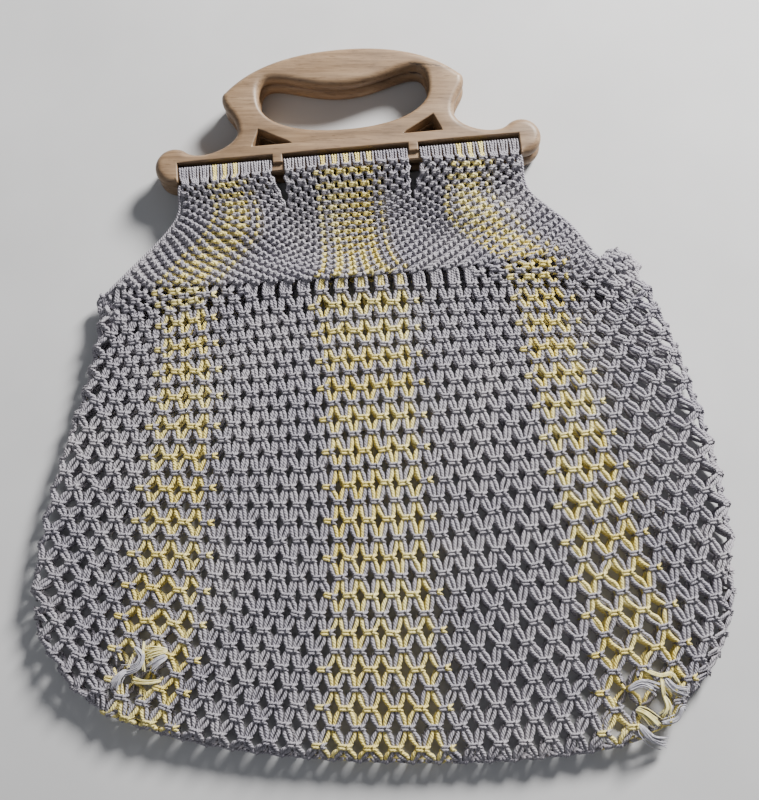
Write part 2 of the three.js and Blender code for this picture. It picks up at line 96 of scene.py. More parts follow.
# The yoke: where it begins on the board, its sag at the sides, and the heights of its rows
YOKE_TOP, YOKE_SAG = -14.2, 2.9
YOKE_HEIGHTS = {
    "front": ((-0.5, 20.8), (0.5, 19.6), (1.5, 17.4), (4.5, 13.8), (8, 12.8), (11, 14.6), (13, 15.6)),
    "back": ((-0.5, 1.9), (2, 2.5), (13, 2.6)),
}
RIDGE_COLUMNS, RIDGE_ROW, RIDGE_HEIGHT = (4.7, 24.3), 5.5, 3.8
SLIT_DIP_ROW, SLIT_DIP = 5, 1.6

# The net: heights of its middle, its bulge, its pull to the side folds, and its folds' rounding and reach
NET_HEIGHT = {"front": 12, "back": 2.7}
BULGE_Y, BULGE_HALF_X, BULGE_HALF_Y = -75, 200, 140
SIDE_COLUMNS, SIDE_PULL = 2.5, {"left": 2.8, "right": 4.4}
POUCH_MIDDLE, EDGE_RADIUS = 7.0, 5.5
FOLD_REACH = 15.8

# Cord diameters, and the play of a cord at the ends of its slot
NET_STRAND, NET_KNOT_CORD, JOIN_CORD, RAIL_CORD = 2.6, 1.74, 2.0, 1.66
DOME_CORD, EDGE_CORD = 2.9, 1.9
RAIL_PLAY = 0.35

# Torn holes, and the lumps at the ends of the side slits with their turns
TORN_HOLES = {"left": (-141, -170), "right": (152, -181)}
TORN_RADIUS = 13.0
SIDE_KNOTS = {"left": ((-162, 49), 0.5), "right": ((144, 73), -0.5)}
DOME_PITCH, DOME_RADIUS, DOME_FOOT, DOME_RISE = (9.6, 10.6), 13.5, 6.6, 6.2

# Frayed ends in the torn holes. Each lock has its way in plan, its width at both ends,
# how many fibres it has, and 1 where it is yellow
LOCKS = {
    "left": (
        (((-124, -155), (-131, -156), (-137, -158)), 1.2, 4.6, 24, 1),
        (((-124, -158), (-129, -161), (-134, -166)), 1.2, 3.6, 22, 0),
        (((-143, -153), (-138, -158), (-141, -165), (-152, -168)), 1.4, 3.0, 28, 0),
        (((-138, -150), (-138, -158), (-137, -167)), 0.8, 0.8, 16, 1),
        (((-127, -172), (-135, -173), (-144, -172)), 1.2, 2.6, 24, 1),
        (((-147, -166), (-151, -170), (-154, -177)), 1.6, 3.6, 24, 0),
    ),
    "right": (
        (((147, -165), (157, -169), (164, -168), (169, -175)), 0.9, 0.9, 18, 1),
        (((139, -177), (147, -173), (157, -177)), 1.8, 3.0, 28, 0),
        (((158, -169), (158, -175), (159, -181)), 0.8, 1.0, 16, 1),
        (((159, -180), (161, -186), (158, -192)), 1.4, 3.8, 28, 1),
        (((160, -170), (165, -176), (174, -178)), 1.4, 3.0, 26, 0),
        (((157, -195), (166, -193), (169, -187), (172, -188)), 2.2, 0.9, 24, 0),
        (((143, -188), (148, -190), (156, -197)), 2.0, 3.2, 26, 1),
        (((144, -196), (151, -204), (162, -207)), 1.6, 2.6, 28, 0),
    ),
}

# The twist of the cord, and the camera's place, tilt and lens, fitted to the photograph
PLIES, TURNS_PER_MM = 3, 0.19
CAMERA_AT, CAMERA_TILT, CAMERA_LENS = (-2.6, -145.7, 660), math.radians(12), 49.5

rng = np.random.default_rng(11)


# Lines and sheets
def within(value, low, high):
    return min(max(value, low), high)


def unit(v):
    return v / (np.linalg.norm(v) + 1e-12)


def smooth_line(stations, values):
    """A line through rising stations with the slopes of a Catmull-Rom curve."""
    last = len(stations) - 1
    slopes = []
    for i in range(last + 1):
        a, b = max(i - 1, 0), min(i + 1, last)
        slopes.append((values[b] - values[a]) / (stations[b] - stations[a]))

    def at(q):
        i = 0
        while i < last - 1 and q > stations[i + 1]:
            i += 1
        span = stations[i + 1] - stations[i]
        t = (q - stations[i]) / span
        t2, t3 = t * t, t * t * t
        ends = values[i] * (2 * t3 - 3 * t2 + 1) + values[i + 1] * (3 * t2 - 2 * t3)
        return ends + span * (slopes[i] * (t3 - 2 * t2 + t) + slopes[i + 1] * (t3 - t2))

    return at


def table_sheet(columns, sections):
    """Plan of a knotted sheet: a function from column and row to x and y."""
    rows = [s[0] for s in sections]
    ends = [smooth_line(rows, [s[1][i] for s in sections]) for i in range(3)]
    across = [smooth_line(rows, [s[2][i] for s in sections]) for i in range(len(columns))]
    first, last = columns[0], columns[-1]

    @cache
    def lines(row):
        return smooth_line(columns, [line(row) for line in across]), [end(row) for end in ends]

    def at(u, row):
        line, (left, middle, right) = lines(row)
        t = 2 * (u - first) / (last - first) - 1
        return line(u), middle + (right - left) / 2 * t + ((right + left) / 2 - middle) * t * t

    return at


net_table = table_sheet(NET_COLUMNS, NET_SECTIONS)
yoke_lower = table_sheet(YOKE_COLUMNS, YOKE_SECTIONS)
yoke_rows = [s[0] for s in YOKE_SECTIONS]
rail_ends = (-SLOT_END + RAIL_PLAY, *PILLARS, SLOT_END - RAIL_PLAY)
rail_station = smooth_line((0, *SLIT_COLUMNS, COLUMNS), rail_ends)
yoke_height = {face: smooth_line(*zip(*heights)) for face, heights in YOKE_HEIGHTS.items()}


def plan_column(face, u):
    """A face's column as counted on the front: the back's are counted from the other side."""
    return u if face == "front" else COLUMNS - u


def net_plan(u, row):
    """Plan of the net, with its outer columns drawn towards the side folds."""
    x, y = net_table(u, row)
    left = within((SIDE_COLUMNS - u) / 3, 0, 1)
    right = within((u - (COLUMNS - SIDE_COLUMNS)) / 3, 0, 1)
    return x + SIDE_PULL["right"] * right * right - SIDE_PULL["left"] * left * left, y


def on_board(face, s, w):
    """Plan of a point that lies s along a board and w up it."""
    x, y, _ = BOARD_AT[face]
    return x + s * math.cos(TURN) - w * math.sin(TURN), y + s * math.sin(TURN) + w * math.cos(TURN)


def panel_pull(u):
    """How far a column hangs from its even place on the rail, because each panel fills its own slot."""
    pull = PILLAR_HALF + RAIL_PLAY
    first, second = SLIT_COLUMNS
    if u < first:
        return -pull * u / first
    if u < second:
        return pull * (1 - 2 * (u - first) / (second - first))
    return pull * (1 - (u - second) / (COLUMNS - second))


def yoke_row(knots):
    """How far down the yoke a row of knots lies: the upper rows are spaced wider."""
    return knots if knots < 0 else YOKE_DEPTH * (knots / (YOKE_ROWS - 1)) ** 0.88


def yoke_plan(face, u, row):
    """Plan of the yoke: it hangs in three panels at the rail, and its lower end meets the net's columns."""
    sag = YOKE_SAG * min(((u - COLUMNS / 2) / 10) ** 2, 1)
    hung = [on_board(face, rail_station(u), YOKE_TOP - sag)] + [yoke_lower(u, r) for r in yoke_rows]
    x, y = (smooth_line([0] + yoke_rows, [p[axis] for p in hung])(row) for axis in (0, 1))
    fade = within(1 - (row + 0.5) / (SLIT_ROWS + 0.7), 0, 1)
    pull = panel_pull(u) * fade
    settle = within((row - 11) / 2, 0, 1) ** 1.6 * within((10.5 - abs(u - COLUMNS / 2)) / 4, 0, 1)
    x += (net_plan(u, NET_START)[0] - yoke_lower(u, yoke_rows[-1])[0]) * settle
    return x + pull * math.cos(TURN), y + pull * math.sin(TURN)


def between(p0, p1, p2, p3, t):
    """A point of the Catmull-Rom curve from p1 to p2."""
    return 0.5 * (2 * p1 + (p2 - p0) * t + (2 * p0 - 5 * p1 + 4 * p2 - p3) * t * t
                  + (3 * p1 - p0 - 3 * p2 + p3) * t ** 3)


def spline(points, steps):
    """A Catmull-Rom curve through plan points."""
    p = np.array([points[0], *points, points[-1]], float)
    out = [between(*p[i:i + 4], t) for i in range(len(points) - 1) for t in np.arange(steps) / steps]
    return np.array(out + [p[-1]])


outline = spline(POUCH_OUTLINE, 14)
outline_mid = (outline[1:] + outline[:-1]) / 2
outline_along = outline[1:] - outline[:-1]
outline_along /= np.linalg.norm(outline_along, axis=1)[:, None]
outline_out = np.stack([outline_along[:, 1], -outline_along[:, 0]], 1)


def edge_of(x, y):
    """How far inside the pouch's outline a point lies, with the nearest outline point and its directions."""
    delta = np.array((x, y)) - outline_mid
    i = int(np.argmin((delta ** 2).sum(1)))
    inside = -float(delta[i] @ outline_out[i])
    foot = np.array((x, y)) + outline_out[i] * inside
    return inside, foot, outline_out[i], outline_along[i]


def yoke_point(face, u, row):
    """A point of the yoke's middle surface. The front has two soft ridges, and dips under the slits."""
    plan_u = plan_column(face, u)
    x, y = yoke_plan(face, plan_u, row)
    if face == "back":
        return np.array((x, y, yoke_height[face](row)))
    fold = min(abs(plan_u - column) for column in RIDGE_COLUMNS) / 2.6
    ridge = RIDGE_HEIGHT * math.exp(-fold * fold - ((row - RIDGE_ROW) / 3.2) ** 2)
    slit = min(abs(plan_u - column) for column in SLIT_COLUMNS)
    dip = SLIT_DIP * math.exp(-slit / 3) * math.exp(-((row - SLIT_DIP_ROW) / 3) ** 2)
    return np.array((x, y, yoke_height[face](row) + ridge - dip))


def bulge(x, y):
    """How much the pouch rises at a point, from 0 at its rim to 1 in its middle."""
    across = max(1 - (x / BULGE_HALF_X) ** 2, 0)
    return across * max(1 - ((y - BULGE_Y) / BULGE_HALF_Y) ** 2, 0)


def net_point(face, u, row):
    """A point of the net's middle surface, which turns over at the pouch's outline."""
    x, y = net_plan(plan_column(face, u), row)
    inside, foot, out, _ = edge_of(x, y)
    height = NET_HEIGHT[face]
    if face == "front":
        height = height * (1 + bulge(x, y) / 7) + 2.6 * math.exp(-max(row + 0.5, 0) / 0.9)
    if inside < EDGE_RADIUS:
        turn = max(inside / EDGE_RADIUS, -1) * math.pi / 2
        x, y = foot - out * EDGE_RADIUS * (1 - math.cos(turn))
        height = POUCH_MIDDLE + (height - POUCH_MIDDLE) * math.sin(turn)
    return np.array((x, y, height))


def join_count(face, u):
    """How many extra knot rows lie between the yoke and the net at a column."""
    return next(count for end, count in JOIN_ROWS if plan_column(face, u) <= end)


def join_point(face, u, share):
    """A point on the way from the yoke's lower end to the net's first knots."""
    high, low = yoke_point(face, u, YOKE_END), net_point(face, u, NET_START)
    return high + (low - high) * share


# Places of knots
def site(point, face, u, row, spread, lean):
    """Where a knot sits on a sheet: its place, its directions and its pitch across and down.

    A lean of 0 sets the knot square to its row, and 1 square to its column.
    """
    here = point(face, u, row)
    across = point(face, u + spread, row) - point(face, u - spread, row)
    up = point(face, u, row - spread) - point(face, u, row + spread)
    ex = unit(across)
    square = unit(up - ex * (up @ ex))
    ey = unit(square + (unit(up) - square) * lean)
    ex = unit(ex - ey * (ex @ ey))
    return here, ex, ey, np.cross(ex, ey), (across @ ex / (2 * spread), up @ ey / (2 * spread))


def bottom_site(x, y, under):
    """The place of a knot on the upper or the under side of the net's bottom fold."""
    _, foot, out, along = edge_of(x, y)
    along = along if along[0] > 0 else -along
    depth, height, tip = (2.2, -2.6, 0.5) if under else (1.8, 1.2, -0.5)
    centre = np.array((foot[0] - depth * out[0], foot[1] - depth * out[1], POUCH_MIDDLE + height))
    ex, en = np.array((along[0], along[1], 0.0)), np.array((out[0], out[1], 0.0))
    ey = unit(np.array((0, 0, 1.0)) + tip * en)
    return centre, ex, ey, np.cross(ex, ey), (11.0, 17.0)


def side_site(x, y):
    """The place of a knot on the side fold of the net, where front and back meet."""
    _, foot, out, along = edge_of(x, y)
    along = along if along[1] > 0 else -along
    ey = np.array((along[0], along[1], 0.0))
    en = unit(np.array((out[0], out[1], 0.8)))
    centre = np.array((foot[0] - 2.4 * out[0], foot[1] - 2.4 * out[1], POUCH_MIDDLE + 2.2))
    return centre, np.cross(ey, en), ey, en, (9.0, 17.0)


def torn(x, y):
    """Whether a point of the front lies in a torn hole."""
    return any(math.hypot(x - hx, y - hy) < TORN_RADIUS for hx, hy in TORN_HOLES.values())


class Sites:
    """The knots of one face, each placed once.

    A knot has its place, its three directions, half its width and height, and its cord's diameter.
    """

    def __init__(self, face):
        self.face = face

    @cache
    def get(self, part, u, row):
        """A knot with a small shift and turn of its own, or None where there is no knot."""
        found = {"join": self.join_knot, "yoke": self.yoke_knot, "net": self.net_knot}[part](u, row)
        if found is None:
            return None
        (here, ex, ey, en), size, wander = found
        shift = rng.normal(0, wander, 2)
        loose = 0.16 if part == "net" and not 2 <= u <= COLUMNS - 2 else 0.07
        turn = rng.normal(0, loose)
        ex, ey = ex * math.cos(turn) + ey * math.sin(turn), ey * math.cos(turn) - ex * math.sin(turn)
        return here + ex * shift[0] + ey * shift[1], ex, ey, en, *size

    def join_knot(self, u, row):
        count = join_count(self.face, u)
        if row > count or not 0.5 <= u <= COLUMNS - 0.5:
            return None
        *lie, pitch = site(join_point, self.face, u, row / (count + 1), 0.12, 0.6)
        half_width, half_height = within(0.26 * pitch[0], 1.9, 2.8), 0.9
        return lie, (half_width, half_height, JOIN_CORD), 0.2

    def yoke_knot(self, u, row):
        down = yoke_row(row)
        slit = float(row).is_integer() and u in SLIT_COLUMNS and down < SLIT_ROWS
        if slit or not 0.5 <= u <= COLUMNS - 0.5:
            return None
        aside = within((abs(u - COLUMNS / 2) - 6.5) / 3, 0, 1)
        lean = 0.25 + 0.35 * aside if down < 11.5 else 0.3
        *lie, pitch = site(yoke_point, self.face, u, down, 0.2, lean)
        half_width, half_height = within(0.26 * pitch[0], 1.35, 2.6), within(0.11 * pitch[1], 0.5, 0.6)
        cord = within(0.27 * pitch[0], RAIL_CORD, 2.1)
        return lie, (half_width, half_height, cord), 0.1

    def net_knot(self, u, row):
        x, y = net_plan(plan_column(self.face, u), row)
        inside, _, out, _ = edge_of(x, y)
        at_bottom = inside < 1 and out[1] < -0.6
        under = at_bottom and inside < -EDGE_RADIUS
        if at_bottom and (self.face == "back" or inside < -FOLD_REACH):
            return None
        if inside < -EDGE_RADIUS and not under:
            return None
        if self.face == "front" and torn(x, y):
            return None
        if at_bottom:
            *lie, pitch = bottom_site(x, y, under)
        elif u in (-1, COLUMNS + 1):
            *lie, pitch = side_site(x, y)
        else:
            *lie, pitch = site(net_point, self.face, u, row, 0.2, 0.5)
        half_width, half_height = within(0.235 * pitch[0], 2.3, 3.0), 0.86
        return lie, (half_width, half_height, NET_KNOT_CORD), 0.3


# Square knots
EVEN_ROLES = {1: "loop", 2: "first", 3: "second", 4: "bars"}
ODD_ROLES = {1: "second", 2: "bars", 3: "loop", 4: "first"}
FILLING = ("first", "second")


def knot_of(column, cord, odd):
    """The column where a cord is knotted in a row, and what it does there."""
    if odd:
        return (column + 1 if cord > 2 else column), ODD_ROLES[cord]
    return column + 0.5, EVEN_ROLES[cord]


def knot_route(role, a, b, d, fine, forked=False):
    """One cord's way through a square knot, in the knot's own directions.

    a and b are half the knot's width and height, and d is its cord. The two filling cords go straight
    down, one cord crosses them in two bars, and the other loops over the ends of the bars.
    """
    z = 0.6 * d
    e = b + 0.65 * d
    w = 1.14 * a if forked else max(0.95 * a, 1.05 * d)
    if role in FILLING:
        x = (-1 if role == "first" else 1) * (0.68 if forked else 0.48) * d
        return [(x, e, 0), (x, -e, 0)]
    if role == "bars" and fine:
        return [(w, e, 0), (0.9 * a, 1.05 * b, 0.6 * z), (0, b, z), (-0.8 * a, b, 0.7 * z),
                (-1.05 * a, 0, 0.1 * d),
                (-0.8 * a, -b, 0.7 * z), (0, -b, z), (0.9 * a, -1.05 * b, 0.5 * z), (w, -e, 0)]
    if role == "bars":
        return [(w, e, 0), (0.5 * a, b, z), (-a, 0, 0.3 * z), (0.5 * a, -b, z), (w, -e, 0)]
    if not fine:
        return [(-w, e, 0), (0, b, -z), (a, 0, 1.5 * z), (0, -b, -z), (-w, -e, 0)]
    if forked:
        loop = [(1.5 * a, 1.8 * b, 0.1 * z), (0.58 * a, 0.5 * b, 1.75 * z),
                (0.58 * a, -0.5 * b, 1.75 * z), (1.5 * a, -1.8 * b, 0.1 * z)]
    else:
        loop = [(1.15 * a, 0.95 * b, 0), (0.9 * a, 0.45 * b, 2.1 * z),
                (0.9 * a, -0.45 * b, 2.1 * z), (1.15 * a, -0.95 * b, 0)]
    return [(-w, e, 0), (-0.75 * a, 1.2 * b, 0.1 * z), (0, b, -z), *loop,
            (0, -b, -z), (-0.75 * a, -1.2 * b, -0.1 * z), (-w, -e, 0)]


class Run:
    """One stretch of cord: its node, whether it is yellow among grey ones, its points, radii and steps."""

    def __init__(self, node, yellow=False):
        self.node, self.yellow = node, yellow
        self.points, self.radii, self.steps = [], [], []

    def add(self, point, radius, steps):
        self.points.append(point)
        self.radii.append(radius)
        self.steps.append(steps)


# Each cord's way from the rail down
def own_column(column, cord):
    return column + (cord - 0.5) / 4


def yellow_stripe(column):
    """The stripe that a column is in, or None."""
    for name, (first, end) in STRIPES.items():
        if first <= column < end:
            return name
    return None


def node_of(face, part, column, cord):
    """The CAD node that a cord belongs to."""
    stripe = yellow_stripe(column)
    if face == "back" and stripe in ("left", "right"):
        stripe = "right" if stripe == "left" else "left"
    if stripe and cord in YELLOW_CORDS:
        return f"{part}_stripe_{face}_{stripe}"
    return f"yoke_{face}" if part == "yoke" else "net_pouch"


def rail_run(face, column, cord):
    """A cord's loop round the rail."""
    plan_u = plan_column(face, own_column(column, cord))
    s = rail_station(plan_u) + panel_pull(plan_u)
    middle = BOARD_AT[face][2] + BOARD_THICK / 2
    reach = (RAIL_THICK + RAIL_CORD) / 2 * (1 if face == "front" else -1)
    outer, inner = middle + reach, middle - reach
    place = column if face == "front" else COLUMNS - 1 - column
    name = next(n for n, (first, end) in PANELS.items() if first <= place < end)
    run = Run(f"rail_loops_{face}_{name}", bool(yellow_stripe(column)) and cord in YELLOW_CORDS)
    lean = {1: 0.3, 2: 0.42, 3: -0.42, 4: -0.3}[cord]
    route = [(-10.2, inner), (-7.5, inner), (-3.2, 0.85 * inner + 0.15 * outer), (-2.3, middle),
             (-3.0, 0.12 * inner + 0.88 * outer), (-5.2, outer), (-10.2, outer)]
    for i, (w, z) in enumerate(route):
        x, y = on_board(face, s + lean * (i - 4) / 2 + rng.normal(0, 0.06), w)
        run.add(np.array((x, y, z)), RAIL_CORD / 2 * 0.84, 2)
    return run


def hem_place(column, cord):
    """Where a cord runs past a row that has no knot for it, at an edge of its panel."""
    out = 0.03 if column in (0, COLUMNS - 1) else -0.08
    return {1: column - out, 2: column + 0.3, 3: column + 0.7, 4: column + 1 + out}[cord]


def into_net(runs, run, face, column, cord):
    """Ends a cord's stretch in the yoke and starts the one in the net."""
    own = own_column(column, cord)
    middle = column + 0.5
    radius = NET_STRAND / 2 * 0.85
    below = Run(node_of(face, "net", column, cord))

    def drawn_in(narrow, share):
        return join_point(face, middle + (own - middle) * narrow, share)

    if run is None:
        below.add(net_point(face, own, -0.9) - np.array((0, 0, 2.0)), radius, 2)
        return below
    count = join_count(face, middle)
    low = drawn_in(0.8, (count + 0.55) / (count + 1)) if count else drawn_in(0.56, 0.0)
    run.add(low, radius, 1)
    runs.append(run)
    below.add(low, radius, 2)
    if not count and cord in (1, 4):
        below.add(drawn_in(0.7, 0.42) + np.array((0, 0, 0.4)), radius, 2)
    elif not count:
        below.add(drawn_in(0.55, 0.4) - np.array((0, 0, 0.5)), radius, 2)
    return below


def held_straight(leave, enter, ex, filling):
    """A point between two knots that keeps a filling cord in its line next to the knot it fills."""
    way = enter - leave
    aside = ex * (way @ ex)
    across, down = (0.7, 0.44) if filling else (0.3, 0.56)
    return leave + across * aside + down * (way - aside)


def start_run(run, here, ey, d):
    """Starts a cord below a torn hole with a short loose end."""
    bend = rng.normal(0, 0.3, 3)
    run.add(here + ey * (4.5 + 3 * rng.random()) + bend * 4, d / 2 * 0.9, 1)


def end_run(run, face, u, row):
    """Lets a cord run on over the bottom fold, or end loose in a torn hole."""
    tip = net_point(face, u, row)
    last = run.points[-1]
    away = tip - last
    length = np.linalg.norm(away)
    if edge_of(*net_plan(plan_column(face, u), row))[0] < 2:
        if face == "front" and last[2] < POUCH_MIDDLE + 0.8:
            return
        if face == "back":
            run.add(last + away * min(1.0, 10.0 / length), run.radii[-1], 2)
            return
        for share, depth, height in ((0.5, 0.7, 7.4), (0.9, 3.4, 2.8)):
            under = last + away * share * min(1.0, 15.0 / length)
            _, foot, out, _ = edge_of(under[0], under[1])
            run.add(np.array((foot[0] - depth * out[0], foot[1] - depth * out[1], height)), run.radii[-1], 2)
        return
    reach = min(length, 5.0 + 4 * rng.random())
    bend = rng.normal(0, 0.25, 3)
    run.add(last + unit(away) * reach * 0.5 + bend * reach * 0.3, run.radii[-1], 2)
    run.add(last + unit(away) * reach + bend * reach, run.radii[-1] * 0.9, 2)


def knot_rows(column):
    """The rows that a column's cords pass: part, place, and whether the knots are between columns."""
    rows = []
    if 0 <= column < COLUMNS:
        rows += [("yoke", k / 2 - 0.5, k % 2 == 1) for k in range(2 * YOKE_ROWS + 1)]
        rows += [("join", k, k % 2 == 1) for k in range(1, JOIN_MOST + 1)]
    return rows + [("net", k / 2 - 0.5, k % 2 == 1) for k in range(2 * NET_ROWS + 1)]


def cord_runs(sites, column, cord):
    """All the stretches of one cord, from the rail down. The front's knots have more points."""
    face = sites.face
    fine = face == "front"
    span_steps = 2 if fine else 1
    own = own_column(column, cord)
    runs, run = [], None
    if 0 <= column < COLUMNS:
        runs.append(rail_run(face, column, cord))
        run = Run(node_of(face, "yoke", column, cord))
        run.add(runs[0].points[-1], runs[0].radii[-1], 1)
    for part, row, odd in knot_rows(column):
        if part == "net" and row == -0.5:
            run = into_net(runs, run, face, column, cord)
        u, role = knot_of(column, cord, odd)
        spot = sites.get(part, u, row)
        if spot is None and part == "join":
            continue
        if spot is None and part == "yoke":
            wide = 1.2 if cord in (1, 4) else 1.0
            run.add(yoke_point(face, hem_place(column, cord), yoke_row(row)), RAIL_CORD / 2 * wide, 1)
            continue
        if spot is None:
            if run and len(run.points) > 1:
                end_run(run, face, (own + u) / 2, row)
                runs.append(run)
            run = None
            continue
        here, ex, ey, en, a, b, d = spot
        route = knot_route(role, a, b, d, fine, part != "yoke")
        places = [here + ex * x + ey * y + en * z for x, y, z in route]
        if run is None:
            run = Run(node_of(face, "net", column, cord))
            start_run(run, here, ey, d)
        elif part == "net" and row > -0.5:
            run.add(held_straight(run.points[-1], places[0], ex, role in FILLING), NET_STRAND / 2, span_steps)
        for i, place in enumerate(places):
            last = i == len(route) - 1
            swell = 1.12 if part == "net" and (i == 0 or last) else 1.0
            if role == "loop" and fine and i in (4, 5):
                swell = 1.15
            run.add(place, d / 2 * swell, span_steps if last and part == "net" else 1)
    if run and len(run.points) > 1:
        end_run(run, face, (own + u) / 2, row)
        runs.append(run)
    return runs


# Tubes
def sample(run):
    """The run's curve as points, radii and length along it."""
    p = np.array(run.points)
    r = np.array(run.radii)
    ext = np.vstack([2 * p[0] - p[1], p, 2 * p[-1] - p[-2]])
    pts, rad = [p[0]], [r[0]]
    for i in range(len(p) - 1):
        steps = run.steps[i]
        for k in range(1, steps + 1):
            t = k / steps
            pts.append(between(*ext[i:i + 4], t))
            rad.append(r[i] + (r[i + 1] - r[i]) * t)
    pts, rad = np.array(pts), np.array(rad)
    lengths = np.linalg.norm(np.diff(pts, axis=0), axis=1)
    return pts, rad, np.concatenate([[0], np.cumsum(lengths)])


def tube(run, sides):
    """Vertices, quads and texture places of a tube along a run."""
    pts, rad, length = sample(run)
    n = len(pts)
    tangent = np.gradient(pts, axis=0)
    tangent /= np.linalg.norm(tangent, axis=1)[:, None] + 1e-12
    side = np.zeros_like(pts)
    v = np.cross(tangent[0], (0.3, 0.2, 0.93))
    for i in range(n):
        v = unit(v - tangent[i] * (v @ tangent[i]))
        side[i] = v
    other = np.cross(tangent, side)
    angle = 2 * np.pi * np.arange(sides) / sides
    ring = side[:, None] * np.cos(angle)[None, :, None] + other[:, None] * np.sin(angle)[None, :, None]
    verts = (pts[:, None] + ring * rad[:, None, None]).reshape(-1, 3)
    i, j = np.meshgrid(np.arange(n - 1), np.arange(sides), indexing="ij")
    near, far, after = i * sides, (i + 1) * sides, (j + 1) % sides
    quads = np.stack([near + j, near + after, far + after, far + j], -1).reshape(-1, 4)
    corners = ((j, i), (j + 1, i), (j + 1, i + 1), (j, i + 1))
    uv = np.stack([np.stack([turn / sides, length[at]], -1) for turn, at in corners], 2)
    return verts, quads, uv.reshape(-1, 4, 2)


def place_object(name, data):
    obj = bpy.data.objects.new(name, data)
    bpy.context.scene.collection.objects.link(obj)
    return obj


def make_piece(mesh, node, slot, materials):
    """Puts a mesh in the place of its CAD node."""
    mesh.validate()
    for m in materials:
        mesh.materials.append(m)
    obj = place_object(mesh.name, mesh)
    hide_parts(node)
    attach(obj, "root")


def make_tubes(name, node, slot, runs, sides, materials):
    """One piece of all the runs' tubes. A yellow run takes the second material."""
    verts, quads, uvs, slots = [], [], [], []
    base = 0
    for run in runs:
        v, q, uv = tube(run, sides)
        verts.append(v)
        quads.append(q + base)
        uvs.append(uv + np.array((rng.random(), 10 * rng.random())))
        slots.append(np.full(len(q), int(run.yellow), np.int32))
        base += len(v)
    verts, quads, uvs, slots = (np.concatenate(x) for x in (verts, quads, uvs, slots))
    verts[:, :2] += BAG_AT
    verts[:, 2] = np.maximum(verts[:, 2], 0.05)
    mesh = bpy.data.meshes.new(name)
    mesh.from_pydata(verts * MM, [], quads)
    mesh.polygons.foreach_set("material_index", slots)
    mesh.polygons.foreach_set("use_smooth", np.ones(len(quads), bool))
    layer = mesh.uv_layers.new(name="cord")
    layer.data.foreach_set("uv", uvs.astype(np.float32).ravel())
    make_piece(mesh, node, slot, materials)


# Materials
class Shader:
    """A node material, with short calls for the nodes that it is made of."""

    def __init__(self, name):
        self.material = bpy.data.materials.new(name)
        self.material.use_nodes = True
        self.nodes, self.links = self.material.node_tree.nodes, self.material.node_tree.links
        self.surface = self.nodes["Principled BSDF"].inputs

    def feed(self, socket, value):
        """Links an output to a socket, or sets the socket's own number, vector or colour."""
        if hasattr(value, "is_output"):
            self.links.new(value, socket)
        else:
            socket.default_value = (*value, 1) if socket.type == "RGBA" else value

    def node(self, kind, **inputs):
        n = self.nodes.new(f"ShaderNode{kind}")
        for name, value in inputs.items():
            self.feed(n.inputs[name], value)
        return n

    def place(self):
        return self.node("TexCoord").outputs["Object"]

    def math(self, operation, *values):
        n = self.node("Math")
        n.operation = operation
        for socket, value in zip(n.inputs, values):
            self.feed(socket, value)
        return n.outputs[0]

    def split(self, vector):
        n = self.node("SeparateXYZ", Vector=vector)
        return n.outputs["X"], n.outputs["Y"]

    def ramp(self, factor, *stops):
        n = self.node("ValToRGB", Fac=factor)
        while len(n.color_ramp.elements) < len(stops):
            n.color_ramp.elements.new(0.5)
        for element, (at, colour) in zip(n.color_ramp.elements, stops):
            element.position = at
            element.color = (*colour, 1)
        return n.outputs["Color"]

    def noise(self, vector, scale, detail, roughness=0.6):
        n = self.node("TexNoise", Vector=vector, Scale=scale, Detail=detail, Roughness=roughness)
        return n.outputs["Fac"]

    def mix(self, blend, factor, a, b):
        n = self.node("Mix")
        n.data_type = "RGBA"
        n.blend_type = blend
        for socket, value in ((0, factor), (6, a), (7, b)):
            self.feed(n.inputs[socket], value)
        return n.outputs[2]

    def mapping(self, kind, vector, **values):
        n = self.node("Mapping", Vector=vector, **values)
        n.vector_type = kind
        return n.outputs["Vector"]

    def bump(self, height, strength, distance):
        n = self.node("Bump", Height=height, Strength=strength, Distance=distance)
        self.links.new(n.outputs["Normal"], self.surface["Normal"])


def grey(value):
    return (value, value, value)


def cord_material(name, deep, plain, worn, stain):
    """Twisted cotton: three plies wound round the cord, with painted shade in the grooves between the plies,
    fibre and fading.
    """
    s = Shader(name)
    uv = s.node("UVMap")
    uv.uv_map = "cord"
    round_cord, along = s.split(uv.outputs["UV"])
    lay = s.math("ADD", round_cord, s.math("MULTIPLY", along, TURNS_PER_MM))
    wave = s.math("SINE", s.math("MULTIPLY", lay, 2 * PLIES * math.pi))
    ply = s.math("ADD", s.math("MULTIPLY", wave, 0.5), 0.5)
    place = s.place()
    fibre = s.noise(place, 1500, 2)
    fade = s.noise(place, 26, 4)
    # The deep colour is painted shade: it darkens only the narrow grooves between the plies, and the rest of
    # each ply keeps the plain colour.
    base = s.ramp(ply, (0.0, deep), (0.32, plain), (1.0, plain))
    aged = s.mix("MIX", s.ramp(fade, (0.38, grey(0)), (0.72, grey(1))), base, worn)
    stained = s.mix("MULTIPLY", s.math("MULTIPLY", fade, 0.6), aged, stain)
    speck = s.ramp(fibre, (0.25, grey(0.78)), (0.75, grey(1.12)))
    s.links.new(s.mix("MULTIPLY", 1.0, stained, speck), s.surface["Base Color"])
    s.bump(s.math("ADD", ply, s.math("MULTIPLY", fibre, 0.6)), 0.75, 0.0004)
    s.surface["Roughness"].default_value = 0.9
    s.surface["Specular IOR Level"].default_value = 0.25
    s.surface["Sheen Weight"].default_value = 0.12
    s.surface["Sheen Roughness"].default_value = 0.5
    return s.material


